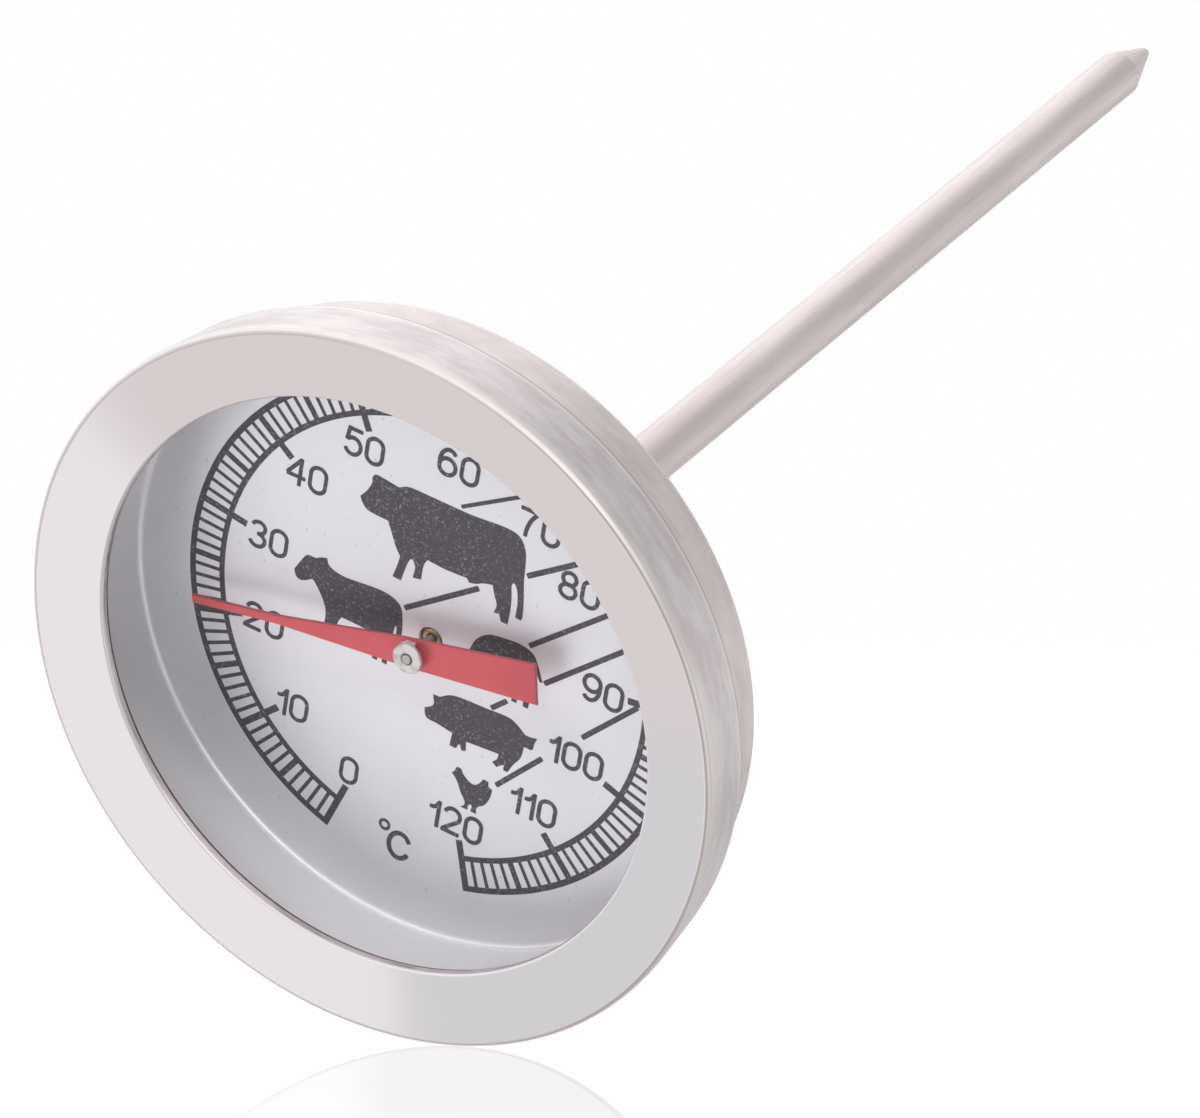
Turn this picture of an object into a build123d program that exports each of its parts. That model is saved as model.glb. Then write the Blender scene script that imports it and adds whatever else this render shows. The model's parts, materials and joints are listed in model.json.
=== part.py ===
"""Dial probe thermometer: a bimetal coil in a pointed steel stem turns a pointer over a dished dial.

The origin is the centre of the case back's outer face, where the stem leaves it.
+Y runs along the stem to its point, so the dial faces -Y. +Z is 12 o'clock on the dial.
Every turned piece is drawn as an outline of (radius, y) points and revolved about Y.
All sizes are in millimetres and all angles in degrees.
"""
from build123d import *
import os

# Case and bezel
case_depth = 9.75       # back face to the plane of the bezel's inner lip
case_wall = 0.5         # drawn steel sheet
case_hem = 0.97         # its rim is turned out this far from the wall, and folded back on itself
case_round = 1.0        # outer corner of the case back
bezel_r = 27.0          # outside of the bezel at its shoulder
bezel_taper = 0.5       # the skirt draws in this much towards its rear edge
bezel_land = 1.0        # straight stretch behind the shoulder, before it draws in
bezel_wall = 0.6        # rolled steel sheet
bezel_rise = 0.95       # the face's outer shoulder stands this far in front of its lip
bezel_round = 0.4       # outer shoulder
bezel_curl = 0.4        # rear edge, folded in behind the case's hem
bezel_fit = 0.05        # radial room between the bezel and what it holds
bezel_face = 5.3        # width of its face, from the opening's lip to the outside
lip_round = 0.25        # rolled edge of the lip

# Window and its seal
glass_t = 1.4
glass_edge = 0.8        # cover of the seal over the glass's edge
seal_t = 0.3            # seal sheet, folded over the glass's edge
seal_show = 0.1         # the seal stops this far behind the lip's edge

# Dial dish
dial_drop = 8.07        # inner lip plane to the dial's printed face
dial_t = 0.35           # aluminium sheet
dish_fit = 0.08         # radial room between the dish's wall and the case's
dish_round = 0.5        # corner between face and wall
dial_hole_r = 0.95      # hole that the spindle comes through

# Stem
stem_r = 1.91
stem_bore_r = 1.5
stem_neck_r = 1.75      # upper end, drawn in to fit the bush
stem_reach = 110.65     # back face to the point's end
stem_dial_gap = 0.2     # from the dial's back to the tube's upper end
point_length = 5.05     # cone at the end
point_blunt_r = 0.4     # flat at its very end
point_round = 0.25
point_plug = 3.0        # plug of the point inside the tube
tube_fit = 0.02         # radial room of a piece pressed into or over the tube

# Bush that holds the stem in the case back
bush_flange_r = 4.2
bush_flange_t = 0.3     # lies flush in a dimple of the case back
bush_flange_fit = 0.1   # radial room of the flange in the dimple
bush_neck_r = 3.0
bush_reach = 6.0        # back face to the end of the neck
bush_spigot_r = 2.7
bush_bevel = 0.4
washer_r = 4.4
washer_t = 0.2

# Spindle, guides and bimetal coil
spindle_r = 0.35
running_fit = 0.05      # radial room of the spindle in its guides
hub_height = 3.15       # printed face to the front of the pointer's hub
spindle_proud = 0.08    # the spindle's end stands out of the hub
guide_length = 5.0
guide_nose_r = 0.75
guide_nose_gap = 0.1    # the upper guide's nose ends this far behind the printed face
middle_guide_length = 3.0
middle_guide_gap = 9.0  # from the middle guide to the coil's top
coil_pitch = 1.5
coil_turns = 24
coil_r = 1.15           # middle of the strip
strip_t = 0.18
strip_width = 1.0
cap_r = 1.3
cap_t = 1.0
cap_sleeve_r = 0.8
cap_sleeve = 2.0
anchor_length = 2.5
anchor_gap = 1.3        # between the anchor and the point's plug

# Pointer and hub
pointer_height = 2.35   # printed face to the pointer's front
pointer_t = 0.3
pointer_tip_r = 18.1
pointer_tail_r = 9.8
pointer_tip_width = 0.6
pointer_neck_r = 11.2   # the thin end starts this far from the axis
pointer_neck_width = 0.66
pointer_waist_r = 0.5   # and from here the blade draws in faster
pointer_waist_width = 2.34
pointer_tail_width = 3.15
hub_disc_r = 1.15
hub_disc_t = 0.3
hub_barrel_r = 0.6
hub_below = 0.5         # the hub's barrel reaches this far behind the pointer
hub_leg_width = 0.85
hub_leg_t = 0.2
hub_leg_out = 1.05      # outer face of each leg from the axis

# Scale
scale_sweep = 325.0     # angle from 0 to 120 degrees Celsius, centred on 12 o'clock
scale_top = 120.0
rest_reading = 22.3     # what the pointer shows at rest

# Places along Y
lip_y = -case_depth
shoulder_y = lip_y - bezel_rise
seal_y = lip_y + bezel_wall
glass_y = seal_y + seal_t
glass_back_y = glass_y + glass_t
dish_rim_y = glass_back_y + seal_t
case_rim_y = dish_rim_y + dial_t
hem_back_y = case_rim_y + 2 * case_wall
skirt_y = hem_back_y + bezel_wall
dial_y = lip_y + dial_drop
dial_back_y = dial_y + dial_t
case_floor_y = -case_wall
dimple_floor_y = -bush_flange_t
washer_y = dimple_floor_y - case_wall
stem_top_y = dial_back_y + stem_dial_gap
cone_y = stem_reach - point_length
plug_y = cone_y - point_plug
coil_length = coil_pitch * coil_turns
anchor_end_y = plug_y - anchor_gap
strip_low_y = anchor_end_y - anchor_length
coil_top_y = strip_low_y - strip_width - coil_length
middle_guide_end_y = coil_top_y - middle_guide_gap
hub_y = dial_y - hub_height
pointer_y = dial_y - pointer_height
pointer_back_y = pointer_y + pointer_t
spindle_top_y = hub_y - spindle_proud

# Radii that follow from the ones above
lip_r = bezel_r - bezel_face
bezel_rear_r = bezel_r - bezel_taper
rim_r = bezel_rear_r - bezel_wall - bezel_fit
case_r = rim_r - case_hem
fold_r = case_r + bezel_fit
dish_r = case_r - case_wall - dish_fit - dial_t
rest_angle = 90.0 + scale_sweep / 2 - scale_sweep * rest_reading / scale_top


def turned(outline, rounds=None):
    """Revolve an outline of (radius, y) points about Y; rounds is {number of the corner: radius}."""
    section = make_face(Polyline(*outline, close=True))
    for corner, radius in (rounds or {}).items():
        vertex = section.vertices().sort_by_distance(outline[corner])[0]
        section = fillet(vertex, radius)
    return revolve(section, axis=Axis.Y)


def tube(outer_r, inner_r, start_y, end_y):
    """A plain sleeve or ring about Y."""
    return turned([(inner_r, start_y), (outer_r, start_y), (outer_r, end_y), (inner_r, end_y)])


def disc(outer_r, start_y, end_y):
    """A solid round bar or disc about Y."""
    return turned([(0, start_y), (outer_r, start_y), (outer_r, end_y), (0, end_y)])


def block(width, depth, start_y, end_y, centre_x, centre_z):
    """A box, width along X and depth along Z, between two places along Y."""
    middle = (centre_x, (start_y + end_y) / 2, centre_z)
    return Pos(*middle) * Box(width, abs(end_y - start_y), depth)


def bezel_ring():
    """Rolled ring: a dished face, a rounded shoulder, and a skirt folded in behind the case's hem."""
    outline = [
        (lip_r, lip_y),
        (bezel_r, shoulder_y),
        (bezel_r, shoulder_y + bezel_land),
        (bezel_rear_r, skirt_y),
        (fold_r, skirt_y),
        (fold_r, hem_back_y),
        (bezel_rear_r - bezel_wall, hem_back_y),
        (bezel_r - bezel_wall, shoulder_y + bezel_land),
        (bezel_r - bezel_wall, shoulder_y + bezel_wall),
        (lip_r, lip_y + bezel_wall),
    ]
    return turned(outline, {0: lip_round, 1: bezel_round, 3: bezel_curl})


def window_seal():
    """Channel of dark rubber sheet folded round the window's edge."""
    cover_r = lip_r + seal_show
    groove_r = rim_r - seal_t
    outline = [
        (cover_r, seal_y),
        (rim_r, seal_y),
        (rim_r, dish_rim_y),
        (groove_r - glass_edge, dish_rim_y),
        (groove_r - glass_edge, glass_back_y),
        (groove_r, glass_back_y),
        (groove_r, glass_y),
        (cover_r, glass_y),
    ]
    return turned(outline)


def glass_window():
    """Flat round pane that sits in the seal."""
    return disc(rim_r - seal_t, glass_y, glass_back_y)


def dial_pan():
    """Aluminium dish: printed face, wall, and a rim clamped between the seal and the case."""
    wall_r = dish_r + dial_t
    outline = [
        (dial_hole_r, dial_y),
        (dish_r, dial_y),
        (dish_r, dish_rim_y),
        (rim_r, dish_rim_y),
        (rim_r, case_rim_y),
        (wall_r, case_rim_y),
        (wall_r, dial_back_y),
        (dial_hole_r, dial_back_y),
    ]
    rounds = {1: dish_round, 2: dial_t, 6: dish_round + dial_t}
    return turned(outline, rounds)


def case_back():
    """Drawn steel pan: its rim is hemmed for the bezel to grip, and a dimple takes the stem's bush."""
    inner_r = case_r - case_wall
    dimple_r = bush_flange_r + bush_flange_fit
    outline = [
        (bush_spigot_r, dimple_floor_y),
        (dimple_r, dimple_floor_y),
        (dimple_r, 0),
        (case_r, 0),
        (case_r, hem_back_y),
        (rim_r, hem_back_y),
        (rim_r, case_rim_y),
        (inner_r, case_rim_y),
        (inner_r, case_floor_y),
        (dimple_r + case_wall, case_floor_y),
        (dimple_r + case_wall, washer_y),
        (bush_spigot_r, washer_y),
    ]
    return turned(outline, {3: case_round, 8: case_round - case_wall})


def stem_bush():
    """Turned bush: a flange in the case back's dimple, a neck round the stem and a spigot inside."""
    bore_r = stem_neck_r + tube_fit
    inner_y = washer_y - washer_t
    outline = [
        (bore_r, inner_y),
        (bush_spigot_r, inner_y),
        (bush_spigot_r, dimple_floor_y),
        (bush_flange_r, dimple_floor_y),
        (bush_flange_r, 0),
        (bush_neck_r, 0),
        (bush_neck_r, bush_reach - bush_bevel),
        (bush_neck_r - bush_bevel, bush_reach),
        (bore_r, bush_reach),
    ]
    return turned(outline)


def bush_washer():
    """Spring washer pressed over the bush's spigot inside the case."""
    return tube(washer_r, bush_spigot_r, washer_y - washer_t, washer_y)


def stem_tube():
    """Long thin steel tube, drawn in at its upper end up to a shoulder against the bush."""
    outline = [
        (stem_bore_r, stem_top_y),
        (stem_neck_r, stem_top_y),
        (stem_neck_r, bush_reach),
        (stem_r, bush_reach),
        (stem_r, cone_y),
        (stem_bore_r, cone_y),
    ]
    return turned(outline)


def stem_tip():
    """Pointed end, with a plug that is pressed and welded into the tube."""
    plug_r = stem_bore_r - tube_fit
    outline = [
        (0, plug_y),
        (plug_r, plug_y),
        (plug_r, cone_y),
        (stem_r, cone_y),
        (point_blunt_r, stem_reach),
        (0, stem_reach),
    ]
    return turned(outline, {4: point_round})


def upper_guide():
    """Brass guide in the tube's upper end, with a nose that shows in the dial's hole."""
    bore_r = spindle_r + running_fit
    plug_r = stem_bore_r - tube_fit
    nose_y = dial_y + guide_nose_gap
    outline = [
        (bore_r, nose_y),
        (guide_nose_r, nose_y),
        (guide_nose_r, stem_top_y),
        (plug_r, stem_top_y),
        (plug_r, stem_top_y + guide_length),
        (bore_r, stem_top_y + guide_length),
    ]
    return turned(outline)


def middle_guide():
    """Brass guide that steadies the spindle halfway down the tube."""
    start_y = middle_guide_end_y - middle_guide_length
    return tube(stem_bore_r - tube_fit, spindle_r + running_fit, start_y, middle_guide_end_y)


def coil_anchor():
    """Plug pressed into the tube below the coil; the strip's lower end is welded to its face."""
    return disc(stem_bore_r - tube_fit, strip_low_y, anchor_end_y)


def bimetal_coil():
    """Strip of bimetal wound into a helix on the stem's axis."""
    start_y = coil_top_y + strip_width / 2
    path = Helix(coil_pitch, coil_length, coil_r, center=(0, start_y, 0), direction=(0, 1, 0))
    outward = (path @ 0) - Vector(0, start_y, 0)
    section = Plane(origin=path @ 0, x_dir=outward, z_dir=path % 0) * Rectangle(strip_t, strip_width)
    return sweep(section, path=path, is_frenet=True)


def coil_cap():
    """Cap that the strip's upper end is welded to, with a sleeve crimped on the spindle."""
    disc_y = coil_top_y - cap_t
    outline = [
        (spindle_r, disc_y - cap_sleeve),
        (cap_sleeve_r, disc_y - cap_sleeve),
        (cap_sleeve_r, disc_y),
        (cap_r, disc_y),
        (cap_r, coil_top_y),
        (spindle_r, coil_top_y),
    ]
    return turned(outline)


def spindle():
    """Thin steel rod from the coil's cap to the pointer's hub."""
    return disc(spindle_r, spindle_top_y, coil_top_y)


def at_rest(shape):
    """Turn a piece drawn with the pointer along +X to where it points at rest."""
    return Rot(0, -rest_angle, 0) * shape


def pointer():
    """Flat blade, wide at the tail and tapered to a thin end over the scale."""
    edge = [
        (pointer_tip_r, pointer_tip_width / 2),
        (pointer_neck_r, pointer_neck_width / 2),
        (pointer_waist_r, pointer_waist_width / 2),
        (-pointer_tail_r, pointer_tail_width / 2),
    ]
    outline = [(along, -across) for along, across in edge] + edge[::-1]
    face = Plane.XZ.offset(-pointer_back_y) * make_face(Polyline(*outline, close=True))
    blade = extrude(face, amount=pointer_t)
    return at_rest(blade - disc(hub_barrel_r, pointer_y, pointer_back_y))


def pointer_hub():
    """Pressed hub: a disc on two legs that stand on the pointer, and a barrel on the spindle."""
    disc_back_y = hub_y + hub_disc_t
    barrel_end_y = pointer_back_y + hub_below
    body = tube(hub_disc_r, spindle_r, hub_y, disc_back_y)
    body += tube(hub_barrel_r, spindle_r, disc_back_y, barrel_end_y)
    for side in (-1, 1):
        centre_z = side * (hub_leg_out - hub_leg_t / 2)
        body += block(hub_leg_width, hub_leg_t, disc_back_y, pointer_y, 0, centre_z)
    return at_rest(body)


NODES = {
    "bezel_ring": bezel_ring,
    "window_seal": window_seal,
    "glass_window": glass_window,
    "dial_pan": dial_pan,
    "case_back": case_back,
    "stem_bush": stem_bush,
    "bush_washer": bush_washer,
    "stem_tube": stem_tube,
    "stem_tip": stem_tip,
    "upper_guide": upper_guide,
    "middle_guide": middle_guide,
    "coil_anchor": coil_anchor,
    "bimetal_coil": bimetal_coil,
    "coil_cap": coil_cap,
    "spindle": spindle,
    "pointer": pointer,
    "pointer_hub": pointer_hub,
}

os.makedirs("parts", exist_ok=True)
for name, make in NODES.items():
    export_step(make(), f"parts/{name}.step")
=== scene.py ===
"""Looks of a dial probe thermometer: steel case and stem, glass, a printed white dial and a red pointer.

Lengths are in millimetres until a mesh is made, where MM turns them into metres.
Angles are in degrees, anticlockwise from +X as the dial's reader sees them from the -Y side.
Turned pieces are outlines of (radius, y) points carried round the Y axis.
"""
import json
import math

import bpy
import numpy as np
from mathutils import Matrix, Vector


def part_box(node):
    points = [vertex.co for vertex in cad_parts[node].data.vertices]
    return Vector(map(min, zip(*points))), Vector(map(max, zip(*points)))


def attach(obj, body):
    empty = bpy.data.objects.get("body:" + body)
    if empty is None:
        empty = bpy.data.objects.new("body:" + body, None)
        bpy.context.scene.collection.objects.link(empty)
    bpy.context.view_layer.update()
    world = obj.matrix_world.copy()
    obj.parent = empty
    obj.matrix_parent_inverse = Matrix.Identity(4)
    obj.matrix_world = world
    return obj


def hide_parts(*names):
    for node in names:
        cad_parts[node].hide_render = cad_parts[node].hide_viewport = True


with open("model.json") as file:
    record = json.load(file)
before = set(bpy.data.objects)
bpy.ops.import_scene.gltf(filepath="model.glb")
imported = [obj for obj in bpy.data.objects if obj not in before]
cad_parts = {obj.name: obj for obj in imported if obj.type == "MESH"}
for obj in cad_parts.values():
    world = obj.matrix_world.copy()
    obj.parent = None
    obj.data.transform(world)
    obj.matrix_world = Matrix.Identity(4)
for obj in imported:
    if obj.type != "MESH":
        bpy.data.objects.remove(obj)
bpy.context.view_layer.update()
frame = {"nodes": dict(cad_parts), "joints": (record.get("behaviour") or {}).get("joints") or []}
MM = 0.001


def span(node):
    """Front, back and outer radius of a turned CAD node, from its box."""
    low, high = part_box(node)
    return low.y / MM, high.y / MM, high.x / MM


# Places and radii that the frame gives
_, skirt_y, bezel_r = span("bezel_ring")
seal_y, dish_rim_y, rim_r = span("window_seal")
glass_y, glass_back_y, glass_r = span("glass_window")
dial_back_y = span("dial_pan")[1]
case_rim_y = span("case_back")[0]
washer_front_y, washer_y, washer_r = span("bush_washer")
bush_front_y, bush_reach, bush_flange_r = span("stem_bush")
stem_top_y, cone_y, stem_r = span("stem_tube")
plug_y, stem_reach, _ = span("stem_tip")
guide_nose_y, guide_end_y, guide_r = span("upper_guide")
spindle_top_y, spindle_end_y, spindle_r = span("spindle")
pointer_y, pointer_back_y, _ = span("pointer")
hub_y, hub_end_y, _ = span("pointer_hub")
pointer_joint = frame["joints"][0]

# Sheet thicknesses, edges and fits of the case
bezel_face = 5.3        # width of the bezel's face
bezel_rise = 0.95       # its outer shoulder stands this far in front of its lip
bezel_land = 1.0        # straight stretch behind the shoulder
bezel_taper = 0.5       # then the skirt draws in this much
bezel_wall = 0.6
bezel_round = 0.4
bezel_curl = 0.4
bezel_fit = 0.05
lip_round = 0.25
seal_t = 0.3
seal_show = 0.1
glass_edge = 0.8
glass_bevel = 0.15
case_wall = 0.5
case_hem = 0.97         # the case's rim is turned out this far
case_round = 1.0
dish_fit = 0.08
dish_round = 0.5
dial_t = 0.35
dial_hole_r = 0.95
edge_break = 0.04       # every other edge is broken by this radius

# Steps of the meshes: degrees, points, or faces round the axis
arc_step = 7.0          # rounded corners
stroke_step = 10.0      # curved strokes of the print
blade_step = 6          # rays that cross the blade's edge
curve_steps = 6         # points on each span of a figure
bezel_turns = 360
case_turns = 256
stem_turns = 128
bore_turns = 96
spindle_turns = 64
axis_r = 1e-9           # a corner nearer than this lies on the axis

# Stem, bush and guide
bush_flange_t = 0.3
bush_flange_fit = 0.1
bush_neck_r = 3.0
bush_spigot_r = 2.7
bush_bevel = 0.4
stem_bore_r = 1.5
stem_neck_r = 1.75
tube_fit = 0.02
point_blunt_r = 0.4
point_round = 0.25
joint_edge = 0.01       # tube and point meet with hardly a gap
running_fit = 0.05
guide_nose_r = 0.75

# Pointer and hub
pointer_tip_r = 18.1
pointer_tail_r = 9.8
pointer_tip_width = 0.6
pointer_neck_r = 11.2   # the thin end starts here
pointer_neck_width = 0.66
pointer_waist_r = 0.5
pointer_waist_width = 2.34
pointer_tail_width = 3.15
pointer_edge = 0.06
hub_disc_r = 1.15
hub_disc_t = 0.3
hub_barrel_r = 0.6
hub_countersink = 0.09
hub_edge = 0.02
hub_ear_t = 0.2
hub_ear_start = 0.72    # where the ear leaves the disc
hub_ear_bend = 0.2
hub_ear_sink = 0.02     # its foot goes this far into the blade
hub_ear_out = 1.05      # outer face of each ear from the axis
hub_ear_root = 1.3      # width of an ear at the disc
hub_ear_foot = 0.7      # and where it stands on the blade

# Scale
scale_sweep = 325.0
scale_top = 120
band_edges = (15.65, 16.85, 17.28, 19.25, 19.72)  # tick end, inner ring, cells, outer ring
line_widths = {10: 0.52, 5: 0.46, 1: 0.28}
numeral_height = 2.3
numeral_stroke = 0.31
numeral_gap = 0.18
ink_t = 0.015
ink_root = 0.008        # the ink's back lies this far inside the dial's face
ink_step = 0.0006       # strokes that cross lie this far above each other
stroke_soft = 0.22      # an open stroke rounds off over this share of its width
stroke_narrow = 0.42    # and its end is narrower by this share
same_point = 1e-6

lip_r = bezel_r - bezel_face
lip_y = seal_y - bezel_wall
shoulder_y = lip_y - bezel_rise
bezel_rear_r = bezel_r - bezel_taper
hem_back_y = skirt_y - bezel_wall
case_r = rim_r - case_hem
dial_y = dial_back_y - dial_t
dish_r = case_r - case_wall - dish_fit - dial_t
scale_zero = 90.0 + scale_sweep / 2
rest_angle = scale_zero + pointer_joint["range_deg"][0]


# ---------------------------------------------------------------- outlines and meshes

def cross(a, b):
    """x of a times y of b, less y of a times x of b, for flat vectors or rows of them."""
    return a[..., 0] * b[..., 1] - a[..., 1] * b[..., 0]


def runs_clockwise(outline):
    """Whether the area inside a closed outline comes out negative."""
    return cross(outline, np.roll(outline, -1, axis=0)).sum() < 0


def rounded(outline, rounds, edge):
    """An outline with every corner off the axis turned into an arc, and the normal at each point.

    An arc of radius q that touches both sides of a corner of half angle h starts q / tan h from it,
    and its centre lies q / sin h along the bisector.
    """
    corners = np.array(outline, float)
    radii = [rounds.get(i, edge) for i in range(len(corners))]
    if runs_clockwise(corners):
        corners, radii = corners[::-1], radii[::-1]
    points, normals = [], []
    for i, corner in enumerate(corners):
        before = corners[i - 1] - corner
        ahead = corners[(i + 1) % len(corners)] - corner
        before, ahead = before / np.linalg.norm(before), ahead / np.linalg.norm(ahead)
        if corner[0] < axis_r:
            flat = ahead if abs(ahead[0]) > 0.5 else -before
            points.append([corner])
            normals.append([(0.0, -flat[0])])
            continue
        half = math.acos(np.clip(before @ ahead, -1, 1)) / 2
        convex = cross(before, ahead) < 0
        bisector = (before + ahead) / np.linalg.norm(before + ahead)
        centre = corner + bisector * radii[i] / math.sin(half)
        reach = radii[i] / math.tan(half)
        start, end = corner + before * reach - centre, corner + ahead * reach - centre
        turn = math.pi - 2 * half
        steps = max(3, round(math.degrees(turn) / arc_step))
        share = np.linspace(0, 1, steps + 1)[:, None]
        arc_points = (np.sin((1 - share) * turn) * start + np.sin(share * turn) * end) / math.sin(turn)
        points.append(centre + arc_points)
        normals.append(arc_points / radii[i] * (1 if convex else -1))
    return np.concatenate(points), np.concatenate(normals)


def carried_round(points, normals, turns):
    """Carry an outline round the Y axis: x = radius cos t, z = radius sin t, for `turns` values of t.

    A point on the axis stays one vertex, and the faces beside it are triangles.
    """
    t = np.radians(np.arange(turns) * 360 / turns)
    on_axis = points[:, 0] < axis_r
    ring = np.arange(turns)
    starts = np.concatenate([[0], np.cumsum(np.where(on_axis, 1, turns))])
    vertices, directions, faces = [], [], []
    for (radius, y), (out, along), pole in zip(points, normals, on_axis):
        angles = t[:1] if pole else t
        level = np.ones_like(angles)
        vertices.append(np.stack([radius * np.cos(angles), y * level, radius * np.sin(angles)], 1))
        directions.append(np.stack([out * np.cos(angles), along * level, out * np.sin(angles)], 1))
    closed = not on_axis.any()
    for i in range(len(points) if closed else len(points) - 1):
        k = (i + 1) % len(points)
        a, b = starts[i] + ring * (not on_axis[i]), starts[k] + ring * (not on_axis[k])
        a_next, b_next = np.roll(a, -1), np.roll(b, -1)
        if on_axis[i]:
            faces.append(np.stack([a, b, b_next], 1))
        elif on_axis[k]:
            faces.append(np.stack([a, b, a_next], 1))
        else:
            faces.append(np.stack([a, b, b_next, a_next], 1))
    return np.concatenate(vertices), np.concatenate(directions), faces


def turned_outward(vertices, faces):
    """The faces, all turned round if the volume that they close comes out negative."""
    volume = 0.0
    for group in faces:
        first = vertices[group[:, 0]]
        for k in range(1, group.shape[1] - 1):
            second, third = vertices[group[:, k]], vertices[group[:, k + 1]]
            volume += np.einsum("ij,ij->i", first, np.cross(second, third)).sum()
    return [group[:, ::-1] for group in faces] if volume < 0 else faces


def add_object(name, data):
    made = bpy.data.objects.new(name, data)
    bpy.context.scene.collection.objects.link(made)
    return made


def add_piece(name, vertices, faces, finish, body, stands_for=(), normals=None, sharp=None):
    """Make a mesh piece from arrays in millimetres; faces is a list of index arrays."""
    mesh = bpy.data.meshes.new(name)
    every_face = [face for group in turned_outward(vertices, faces) for face in group.tolist()]
    mesh.from_pydata((vertices * MM).tolist(), [], every_face)
    mesh.materials.append(finish)
    mesh.shade_smooth()
    if normals is not None:
        mesh.normals_split_custom_set_from_vertices(normals.tolist())
    if sharp is not None:
        mesh.set_sharp_from_angle(angle=math.radians(sharp))
    piece = add_object(name, mesh)
    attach(piece, body)
    if stands_for:
        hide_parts(*stands_for)


def turned(node, outline, rounds, finish, body="case", turns=case_turns):
    """A turned piece that stands for the CAD node of the same name."""
    points, normals = rounded(outline, rounds, edge_break)
    vertices, directions, faces = carried_round(points, normals, turns)
    add_piece(f"{node}_surface", vertices, faces, finish, body, [node], directions)


def joined(parts):
    """Several (vertices, faces) pairs as one."""
    vertices, faces, count = [], [], 0
    for more, groups in parts:
        vertices.append(more)
        faces += [group + count for group in groups]
        count += len(more)
    return np.concatenate(vertices), faces


# ---------------------------------------------------------------- node trees

class Tree:
    """Short calls that add nodes to a material or the world and link them."""

    def __init__(self, owner):
        owner.use_nodes = True
        self.tree = owner.node_tree
        self.tree.nodes.clear()

    def put(self, value, socket):
        """Set a socket or link it; a node stands for its first output."""
        if isinstance(value, bpy.types.Node):
            value = value.outputs[0]
        if isinstance(value, bpy.types.NodeSocket):
            self.tree.links.new(value, socket)
        elif hasattr(value, "__len__") and len(value) == 3 and socket.type == "RGBA":
            socket.default_value = (*value, 1.0)
        else:
            socket.default_value = value

    def node(self, kind, inputs=(), **settings):
        made = self.tree.nodes.new("ShaderNode" + kind)
        for key, value in settings.items():
            setattr(made, key, value)
        for key, value in dict(inputs).items():
            self.put(value, made.inputs[key])
        return made

    def math(self, operation, *values, clamp=False):
        return self.node("Math", enumerate(values), operation=operation, use_clamp=clamp)

    def times(self, first, second):
        return self.math("MULTIPLY", first, second)

    def vector(self, operation, *values):
        made = self.node("VectorMath", enumerate(values), operation=operation)
        return made.outputs["Value" if operation in ("DOT_PRODUCT", "LENGTH") else "Vector"]

    def noise(self, vector, scale, detail=2.0, roughness=0.5):
        inputs = {"Vector": vector, "Scale": scale, "Detail": detail, "Roughness": roughness}
        return self.node("TexNoise", inputs)

    def remap(self, value, low, high, to_low=0.0, to_high=1.0, smooth=False):
        kind = "SMOOTHSTEP" if smooth else "LINEAR"
        inputs = {"Value": value, "From Min": low, "From Max": high, "To Min": to_low, "To Max": to_high}
        return self.node("MapRange", inputs, interpolation_type=kind)

    def follow(self, noise, low, high):
        """A value that runs from low to high with a noise, which stays mostly between 0.3 and 0.7."""
        return self.remap(noise, 0.3, 0.7, low, high)

    def mix(self, share, first, second):
        return self.node("Mix", {0: share, 6: first, 7: second}, data_type="RGBA").outputs[2]

    def millimetres(self):
        """The object's own coordinates, in millimetres."""
        place = self.node("TexCoord").outputs["Object"]
        return self.vector("MULTIPLY", place, (1 / MM,) * 3)

    def grain(self, scale, detail=2.0, roughness=0.5):
        """Noise in the piece itself, `scale` to the millimetre."""
        return self.noise(self.millimetres(), scale, detail, roughness)

    def from_axis(self):
        """The direction from the Y axis, the distance from it, and y."""
        place = self.millimetres()
        flat = self.vector("MULTIPLY", place, (1, 0, 1))
        y = self.node("SeparateXYZ", {0: place}).outputs[1]
        return self.vector("NORMALIZE", flat), self.vector("LENGTH", flat), y

    def streaks(self, length, fine, detail=2.0, roughness=0.5):
        """Noise drawn out round the Y axis.

        It is read at x and z of the direction from the axis, times `length`, and at radius minus y,
        times `fine`.
        """
        direction, radius, y = self.from_axis()
        x, _, z = self.node("SeparateXYZ", {0: direction}).outputs
        inputs = {
            0: self.times(x, length),
            1: self.times(self.math("SUBTRACT", radius, y), fine),
            2: self.times(z, length),
        }
        return self.noise(self.node("CombineXYZ", inputs), 1.0, detail, roughness)

    def bump(self, height, depth):
        """A normal from a height between 0 and 1, `depth` millimetres high."""
        return self.node("Bump", {"Height": height, "Strength": 1.0, "Distance": depth * MM})

    def seen(self):
        """1 for rays from the eye, also through glass, and 0 for all others."""
        path = self.node("LightPath").outputs
        return self.math("ADD", path["Is Camera Ray"], path["Is Transmission Ray"], clamp=True)

    def slant(self):
        """0 where the surface faces the eye, 1 where it is seen along its face."""
        return self.node("LayerWeight", {"Blend": 0.5}).outputs["Facing"]

    def mirror(self, roughness):
        return self.node("BsdfGlossy", {"Color": (1, 1, 1), "Roughness": roughness})

    def blend(self, share, first, second):
        return self.node("MixShader", {0: share, 1: first, 2: second})

    def surface(self, shader):
        self.node("OutputMaterial", {"Surface": shader})

    def finish(self, **inputs):
        """A Principled surface; underscores in a name stand for spaces."""
        named = {key.replace("_", " "): value for key, value in inputs.items()}
        self.surface(self.node("BsdfPrincipled", named))

    def metal(self, colour, roughness, **inputs):
        self.finish(Base_Color=colour, Metallic=1.0, Roughness=roughness, **inputs)

    def grained(self, colour, grain, smooth, rough, depth, **inputs):
        """A surface whose roughness and relief follow one noise."""
        roughness, relief = self.follow(grain, smooth, rough), self.bump(grain, depth)
        self.finish(Base_Color=colour, Roughness=roughness, Normal=relief, **inputs)


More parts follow.
